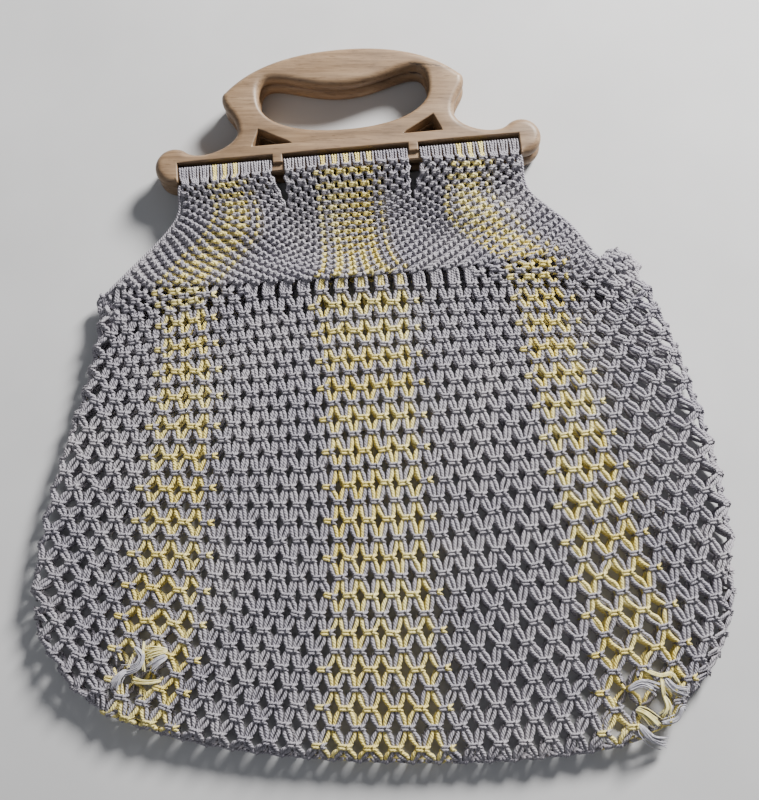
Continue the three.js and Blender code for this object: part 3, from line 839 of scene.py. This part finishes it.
def crack_mask(s, place):
    """Strongest along a short thin crack in the crown of the upper board, and 0 elsewhere."""
    half_length, thin_by, end_by, strongest = 0.0115, 1500.0, 400.0, 0.9
    local = s.mapping("TEXTURE", place, Location=(0.0265, 0.2075, 0.022), Rotation=(0, 0, math.radians(-6)))
    along, across = s.split(local)
    wander = s.math("MULTIPLY", s.noise(place, 180, 3), 0.003)
    aside = s.math("ABSOLUTE", s.math("ADD", across, wander))
    thin = s.math("SUBTRACT", 1.0, s.math("MULTIPLY", aside, thin_by))
    ends = s.math("MULTIPLY", s.math("SUBTRACT", half_length, s.math("ABSOLUTE", along)), end_by)
    crack = s.math("MINIMUM", s.math("MAXIMUM", thin, 0.0), ends)
    return s.math("MINIMUM", s.math("MAXIMUM", crack, 0.0), strongest)


def wood_material():
    """Worn beech: fine long grain, short pores, darker handling marks and a crack."""
    s = Shader("worn_beech")
    place = s.place()

    def grain(along, across, scale, detail):
        stretched = s.mapping("POINT", place, Rotation=(0, 0, -TURN), Scale=(along, across, across))
        return s.noise(stretched, scale, detail)

    bands = grain(5, 70, 1.6, 4)
    streaks = grain(22, 520, 1.0, 3)
    pores = grain(110, 1500, 1.0, 2)
    marks = s.noise(place, 34, 5, 0.7)
    base = s.ramp(bands, (0.3, (0.21, 0.135, 0.075)), (0.52, (0.29, 0.19, 0.109)),
                  (0.72, (0.355, 0.245, 0.148)))
    streaked = s.ramp(streaks, (0.36, (0.66, 0.62, 0.58)), (0.58, (1.04, 1.03, 1.02)))
    lined = s.mix("MULTIPLY", 0.75, base, streaked)
    pored = s.mix("MULTIPLY", 0.8, lined, s.ramp(pores, (0.33, (0.55, 0.5, 0.45)), (0.42, grey(1))))
    worn = s.mix("MULTIPLY", 0.8, pored, s.ramp(marks, (0.3, (0.72, 0.7, 0.7)), (0.55, grey(1.0))))
    cracked = s.mix("MIX", crack_mask(s, place), worn, (0.045, 0.03, 0.02))
    s.links.new(cracked, s.surface["Base Color"])
    s.links.new(s.ramp(marks, (0.3, grey(0.6)), (0.7, grey(0.42))), s.surface["Roughness"])
    s.bump(streaks, 0.25, 0.0003)
    s.surface["Coat Weight"].default_value = 0.12
    s.surface["Coat Roughness"].default_value = 0.35
    return s.material


def fibre_material(name, deep, pale):
    """Loose cotton fibre."""
    s = Shader(name)
    s.links.new(s.ramp(s.noise(s.place(), 420, 3), (0.3, deep), (0.7, pale)), s.surface["Base Color"])
    s.surface["Roughness"].default_value = 0.95
    s.surface["Specular IOR Level"].default_value = 0.2
    return s.material


def floor_material():
    s = Shader("pale_floor")
    tone = s.ramp(s.noise(s.place(), 9, 3), (0.3, (0.54, 0.54, 0.545)), (0.7, (0.6, 0.6, 0.605)))
    s.links.new(tone, s.surface["Base Color"])
    s.surface["Roughness"].default_value = 0.85
    return s.material


# The deep colours of both cords are painted shade in the grooves between their plies.
grey_cord = cord_material("grey_cotton_cord", deep=(0.13, 0.125, 0.15), plain=(0.4, 0.38, 0.44),
                          worn=(0.47, 0.45, 0.49), stain=(0.84, 0.8, 0.74))
yellow_cord = cord_material("yellow_cotton_cord", deep=(0.58, 0.41, 0.08), plain=(0.98, 0.83, 0.25),
                            worn=(0.97, 0.89, 0.44), stain=(0.94, 0.88, 0.72))
grey_fibre = fibre_material("loose_grey_fibre", (0.36, 0.35, 0.41), (0.66, 0.65, 0.68))
yellow_fibre = fibre_material("loose_yellow_fibre", (0.78, 0.68, 0.26), (0.95, 0.9, 0.52))
wood = wood_material()


# The cords of both faces
def piece_of(node, face, column):
    """The piece that a run goes into: the front of the net is two pieces."""
    if node != "net_pouch":
        return node
    half = "_left" if column < COLUMNS // 2 else "_right"
    return f"net_pouch.{face}{half if face == 'front' else ''}"


def gathered_runs():
    """The runs of all the cords, by piece."""
    pieces = {}
    for face in ("front", "back"):
        sites = Sites(face)
        for column in range(-1, COLUMNS + 1):
            for cord in (1, 2, 3, 4):
                for run in cord_runs(sites, column, cord):
                    pieces.setdefault(piece_of(run.node, face, column), []).append(run)
    return pieces


def make_cords():
    for piece, runs in gathered_runs().items():
        node = piece.split(".")[0]
        if "rail" in node:
            make_tubes(f"{piece}_cords", node, "grey_cord", runs, 5, [grey_cord, yellow_cord])
            continue
        sides = 4
        if "front" in piece:
            sides = 5 if node.startswith("yoke") else 6
        slot, material = ("yellow_cord", yellow_cord) if "stripe" in node else ("grey_cord", grey_cord)
        make_tubes(f"{piece}_cords", node, slot, runs, sides, [material])


def make_edge_cords():
    """A cord along each side edge of the yokes."""
    for face in ("front", "back"):
        runs = []
        for u in (-0.03, COLUMNS + 0.03):
            run = Run(f"yoke_{face}")
            for k in range(2 * YOKE_ROWS):
                run.add(yoke_point(face, u, k / 2 - 0.5), EDGE_CORD / 2, 1)
            runs.append(run)
        make_tubes(f"yoke_{face}_edge_cords", f"yoke_{face}", "grey_cord", runs, 6, [grey_cord])


# Bunched knots at the ends of the side slits
def dome_point(centre, turn, size, u, row):
    """A point of a lump, which its small patch of knots is drawn over."""
    x, y = (u - 1.5) * DOME_PITCH[0], (0.75 - row) * DOME_PITCH[1]
    angle = min(math.hypot(x, y) / 13, 1.5)
    way = math.atan2(y, x) + turn
    out = DOME_RADIUS * size * math.sin(angle)
    height = DOME_FOOT + (DOME_RISE * size - 3 * (1 - size)) * math.cos(angle)
    return np.array((centre[0] + out * math.cos(way), centre[1] + out * math.sin(way), height))


def dome_runs(centre, turn, size):
    """The cords of a patch of square knots that is drawn over a lump."""
    half_width, half_height = 3.1, 1.35

    def on_dome(_, u, row):
        return dome_point(centre, turn, size, u, row)

    @cache
    def spot(u, row):
        here, ex, ey, en, _ = site(on_dome, "front", u, row, 0.2, 0.0)
        return here + rng.normal(0, 0.3, 3), ex, ey, en

    runs = []
    for column in range(3):
        for cord in (1, 2, 3, 4):
            run = Run("side_knots")
            for k in range(6):
                u, role = knot_of(column, cord, k % 2 == 1)
                if not 0.4 <= u <= 2.6:
                    continue
                here, ex, ey, en = spot(u, k / 2 - 0.5)
                for x, y, z in knot_route(role, half_width, half_height, DOME_CORD, True):
                    run.add(here + ex * x + ey * y + en * z * 0.8, DOME_CORD / 2, 1)
            runs.append(run)
    return runs


def make_side_knots():
    """Each lump is an outer patch of knots with a smaller one turned under it."""
    for name, (centre, turn) in SIDE_KNOTS.items():
        runs = dome_runs(centre, turn, 1.0) + dome_runs(centre, turn + 0.7, 0.7)
        make_tubes(f"side_knots_{name}_cords", f"side_knots_{name}", "grey_cord", runs, 6, [grey_cord])


# Frayed ends
def lock_runs(way, wide, wider, count, yellow):
    """One broken cord end that opens into fibres."""
    line = spline(way, 5)
    n = len(line)
    runs = []
    for _ in range(count):
        a, b = rng.normal(0, 0.5, 2)
        curl = rng.normal(0, 0.4)
        run = Run("frayed", bool(yellow))
        begin, end = 0.1 * rng.random(), 0.72 + 0.28 * rng.random()
        for t in np.linspace(begin, end, n // 2 + 2):
            k = t * (n - 1)
            here = min(int(k), n - 2)
            middle = line[here] + (line[here + 1] - line[here]) * (k - here)
            ahead = unit(line[here + 1] - line[max(here - 1, 0)])
            spread = (wide + (wider - wide) * t) * min(0.4 + 3 * t, 1)
            x, y = middle + np.array((-ahead[1], ahead[0])) * spread * (a + curl * t * t)
            lies = within((edge_of(x, y)[0] + 12) / 14, 0, 1)
            z = 3 + 10.4 * lies + 1.6 * math.sin(math.pi * t) + b * spread * 0.45
            run.add(np.array((x, y, z)), 0.36 - 0.14 * t, 1)
        runs.append(run)
    return runs


def make_frayed_ends():
    for name, locks in LOCKS.items():
        runs = [run for lock in locks for run in lock_runs(*lock)]
        node = f"frayed_ends_{name}"
        make_tubes(f"{node}_fibres", node, "grey_cord", runs, 4, [grey_fibre, yellow_fibre])


# The handle boards
def curve(points, steps):
    """A Bezier curve without its last point."""
    p = np.array(points, float)
    t = (np.arange(steps) / steps)[:, None]
    if len(p) == 3:
        return (1 - t) ** 2 * p[0] + 2 * t * (1 - t) * p[1] + t * t * p[2]
    return (1 - t) ** 3 * p[0] + 3 * t * (1 - t) ** 2 * p[1] + 3 * t * t * (1 - t) * p[2] + t ** 3 * p[3]


def straight(a, b, steps):
    """A straight line without its last point."""
    t = (np.arange(steps) / steps)[:, None]
    return np.array(a, float) * (1 - t) + np.array(b, float) * t


def board_outline():
    """The board's edge, with the slots open to the rail below."""
    meet = KNOB_W - math.sqrt(KNOB_RADIUS ** 2 - (SLOT_END - KNOB_S) ** 2)
    start = math.atan2(meet - KNOB_W, SLOT_END - KNOB_S)
    angles = np.linspace(start, KNOB_NECK, 44)[:-1]
    knob = np.stack([KNOB_S + KNOB_RADIUS * np.cos(angles), KNOB_W + KNOB_RADIUS * np.sin(angles)], 1)
    neck = (KNOB_S + KNOB_RADIUS * math.cos(KNOB_NECK), KNOB_W + KNOB_RADIUS * math.sin(KNOB_NECK))
    corner = (74.4, 45.9)
    side = np.vstack([
        knob, curve((neck, (94, 0), (68.5, 9), WAIST), 18),
        curve((WAIST, (68.5, 29), (76.8, 33.5), SHOULDER), 14),
        curve((SHOULDER, (76.8, 44.7), corner), 6),
        curve((corner, (50, CROWN), (0, CROWN)), 26),
    ])
    corners = [(-SLOT_END, meet), (-SLOT_END, 0)]
    for s in PILLARS:
        low, high = s - PILLAR_HALF, s + PILLAR_HALF
        corners += [(low, 0), (low, RAIL_TOP - 1), (high, RAIL_TOP - 1), (high, 0)]
    corners += [(SLOT_END, 0), (SLOT_END, meet)]
    bottom = np.vstack([straight(a, b, 6) for a, b in zip(corners, corners[1:])])
    other = side[::-1] * np.array((-1, 1))
    return np.vstack([bottom, side, [(0, CROWN)], other[:-1]])


def hand_outline():
    """The hand opening, with the wood on its left."""
    corner = (45, 51.5)
    half = np.vstack([
        curve(((0, GRIP_LOW), (32, GRIP_LOW), (53.7, 22), GRIP_END), 24),
        curve((GRIP_END, (53.7, 51.5), corner), 12),
        curve((corner, (34, 51.5), (20, GRIP_HIGH), (0, GRIP_HIGH)), 20), [(0, GRIP_HIGH)],
    ])
    other = half[::-1] * np.array((-1, 1))
    return np.vstack([half, other[1:-1]])[::-1]


def piercing_outline(side):
    """A triangular piercing, with the wood on its left."""
    corners = [(35 * side, 6.8), (59.5 * side, 6.8), (55 * side, 17.8)]
    ring = np.vstack([straight(corners[i], corners[(i + 1) % 3], 8) for i in range(3)])
    return ring[::-1] if side > 0 else ring


def softened(values, rounds):
    """A ring of values, each one drawn towards its neighbours."""
    for _ in range(rounds):
        values = (np.roll(values, 1) + 2 * values + np.roll(values, -1)) / 4
    return values


def inward(ring):
    """Directions into the wood at each point of a ring that has the wood on its left."""
    ahead = np.roll(ring, -1, 0) - ring
    ahead /= np.linalg.norm(ahead, axis=1)[:, None] + 1e-12
    left = np.stack([-ahead[:, 1], ahead[:, 0]], 1)
    both = left + np.roll(left, 1, 0)
    length = (both ** 2).sum(1)[:, None]
    return 2 * both / np.maximum(length, 1.4)


def board_rings():
    """The board's outlines, each with how far its edges are rounded at each point."""
    outer, hand = board_outline(), hand_outline()
    slot = (outer[:, 1] < 0.2) & (np.abs(outer[:, 0]) < SLOT_END + 0.1)
    knob = np.abs(outer[:, 0]) > KNOB_S - 12
    radius = np.where(slot, EDGE_ROUND["slot"], np.where(knob, EDGE_ROUND["knob"], EDGE_ROUND["rim"]))
    yield outer, np.where(slot, EDGE_ROUND["slot"], softened(radius, 6))
    upper = hand[:, 1] > GRIP_HIGH - 2
    yield hand, softened(np.where(upper, EDGE_ROUND["grip"], EDGE_ROUND["grip_low"]), 14)
    for side in (1, -1):
        piercing = piercing_outline(side)
        yield piercing, np.full(len(piercing), EDGE_ROUND["piercing"])


def rounded_edge(ring, radius):
    """Copies of a ring from the board's top to its bottom, drawn in where its edges are rounded."""
    levels = 7
    half = BOARD_THICK / 2
    way = inward(ring)
    copies = []
    for side in (1, -1):
        for k in range(levels)[::side]:
            turn = math.pi / 2 * (1 - k / (levels - 1))
            offset = radius * (1 - np.cos(turn))
            z = half - radius * (1 - np.sin(turn))
            copies.append(np.column_stack([ring + way * offset[:, None], side * z + half]))
    return copies


def rail_profile():
    """The rail's eight corners, up the board and through its thickness."""
    half = BOARD_THICK / 2
    low, high = half - RAIL_THICK / 2, half + RAIL_THICK / 2
    return ((RAIL_BOTTOM, low + 1), (RAIL_BOTTOM + 1, low), (RAIL_TOP - 1, low), (RAIL_TOP, low + 1),
            (RAIL_TOP, high - 1), (RAIL_TOP - 1, high), (RAIL_BOTTOM + 1, high), (RAIL_BOTTOM, high - 1))


def board_surface():
    """Vertices, faces and smoothness of a board with rounded edges and the rail between its knobs."""
    verts, faces = [], []
    tops, bottoms = [], []
    for ring, radius in board_rings():
        count, first = len(ring), len(verts)
        copies = rounded_edge(ring, radius)
        for copy in copies:
            verts += copy.tolist()
        for k in range(len(copies) - 1):
            a, b = first + k * count, first + (k + 1) * count
            for j in range(count):
                n = (j + 1) % count
                faces.append((a + j, b + j, b + n, a + n))
        tops.append(list(range(first, first + count)))
        bottoms.append(list(range(len(verts) - count, len(verts))))
    for caps, flip in ((tops, False), (bottoms, True)):
        flat = [i for ring in caps for i in ring]
        for tri in tessellate_polygon([[Vector(verts[i]) for i in ring] for ring in caps]):
            ids = [flat[i] for i in tri]
            a, b, c = (np.array(verts[i]) for i in ids)
            up = np.cross(b - a, c - a)[2] > 0
            faces.append(tuple(ids if up != flip else ids[::-1]))
    smooth = [True] * len(faces)
    profile = rail_profile()
    first, count = len(verts), len(profile)
    for s in (-SLOT_END - 1, SLOT_END + 1):
        verts += [(s, w, z) for w, z in profile]
    for k in range(count):
        n = (k + 1) % count
        faces.append((first + k, first + n, first + count + n, first + count + k))
        smooth.append(False)
    return verts, faces, smooth


def make_boards():
    verts, faces, smooth = board_surface()
    for face in ("front", "back"):
        placed = []
        for s, w, z in verts:
            x, y = on_board(face, s, w)
            placed.append(((x + BAG_AT[0]) * MM, (y + BAG_AT[1]) * MM, (z + BOARD_AT[face][2]) * MM))
        mesh = bpy.data.meshes.new(f"handle_{face}_board")
        mesh.from_pydata(placed, [], faces)
        mesh.polygons.foreach_set("use_smooth", smooth)
        make_piece(mesh, f"handle_{face}", "wood", [wood])


# Floor, light and camera
def make_floor():
    half = 6
    mesh = bpy.data.meshes.new("floor")
    corners = [(-half, -half, 0), (half, -half, 0), (half, half, 0), (-half, half, 0)]
    mesh.from_pydata(corners, [], [(0, 1, 2, 3)])
    mesh.materials.append(floor_material())
    obj = place_object("floor", mesh)


def area_light(name, at, size, power, colour):
    """A round lamp that looks at the middle of the bag."""
    data = bpy.data.lights.new(name, "AREA")
    data.shape = "DISK"
    data.size = size
    data.energy = power
    data.color = colour
    obj = place_object(name, data)
    obj.location = at
    obj.rotation_euler = (-Vector(at)).to_track_quat("-Z", "Y").to_euler()


def make_world():
    world = bpy.data.worlds.new("studio")
    world.use_nodes = True
    background = world.node_tree.nodes["Background"].inputs
    background["Color"].default_value = (0.9, 0.93, 1.0, 1)
    background["Strength"].default_value = 0.17
    bpy.context.scene.world = world


def make_camera():
    """The photograph's view: from above the net, tipped towards the handles."""
    camera = bpy.data.cameras.new("camera")
    camera.lens = CAMERA_LENS
    camera.sensor_width = 36.0
    camera.clip_start = 0.01
    camera.clip_end = 50
    eye = place_object("camera", camera)
    x, y, height = CAMERA_AT
    eye.location = ((x + BAG_AT[0]) * MM, (y + BAG_AT[1]) * MM, height * MM)
    eye.rotation_euler = (CAMERA_TILT, 0, 0)
    bpy.context.scene.camera = eye


make_cords()
make_edge_cords()
make_side_knots()
make_frayed_ends()
make_boards()
make_floor()
area_light("key", at=(0.8, 1.1, 0.8), size=0.45, power=80, colour=(1.0, 0.985, 0.96))
area_light("fill", at=(-1.0, -0.9, 1.4), size=1.6, power=4.5, colour=(0.93, 0.96, 1.0))
make_world()
make_camera()

bpy.context.view_layer.update()
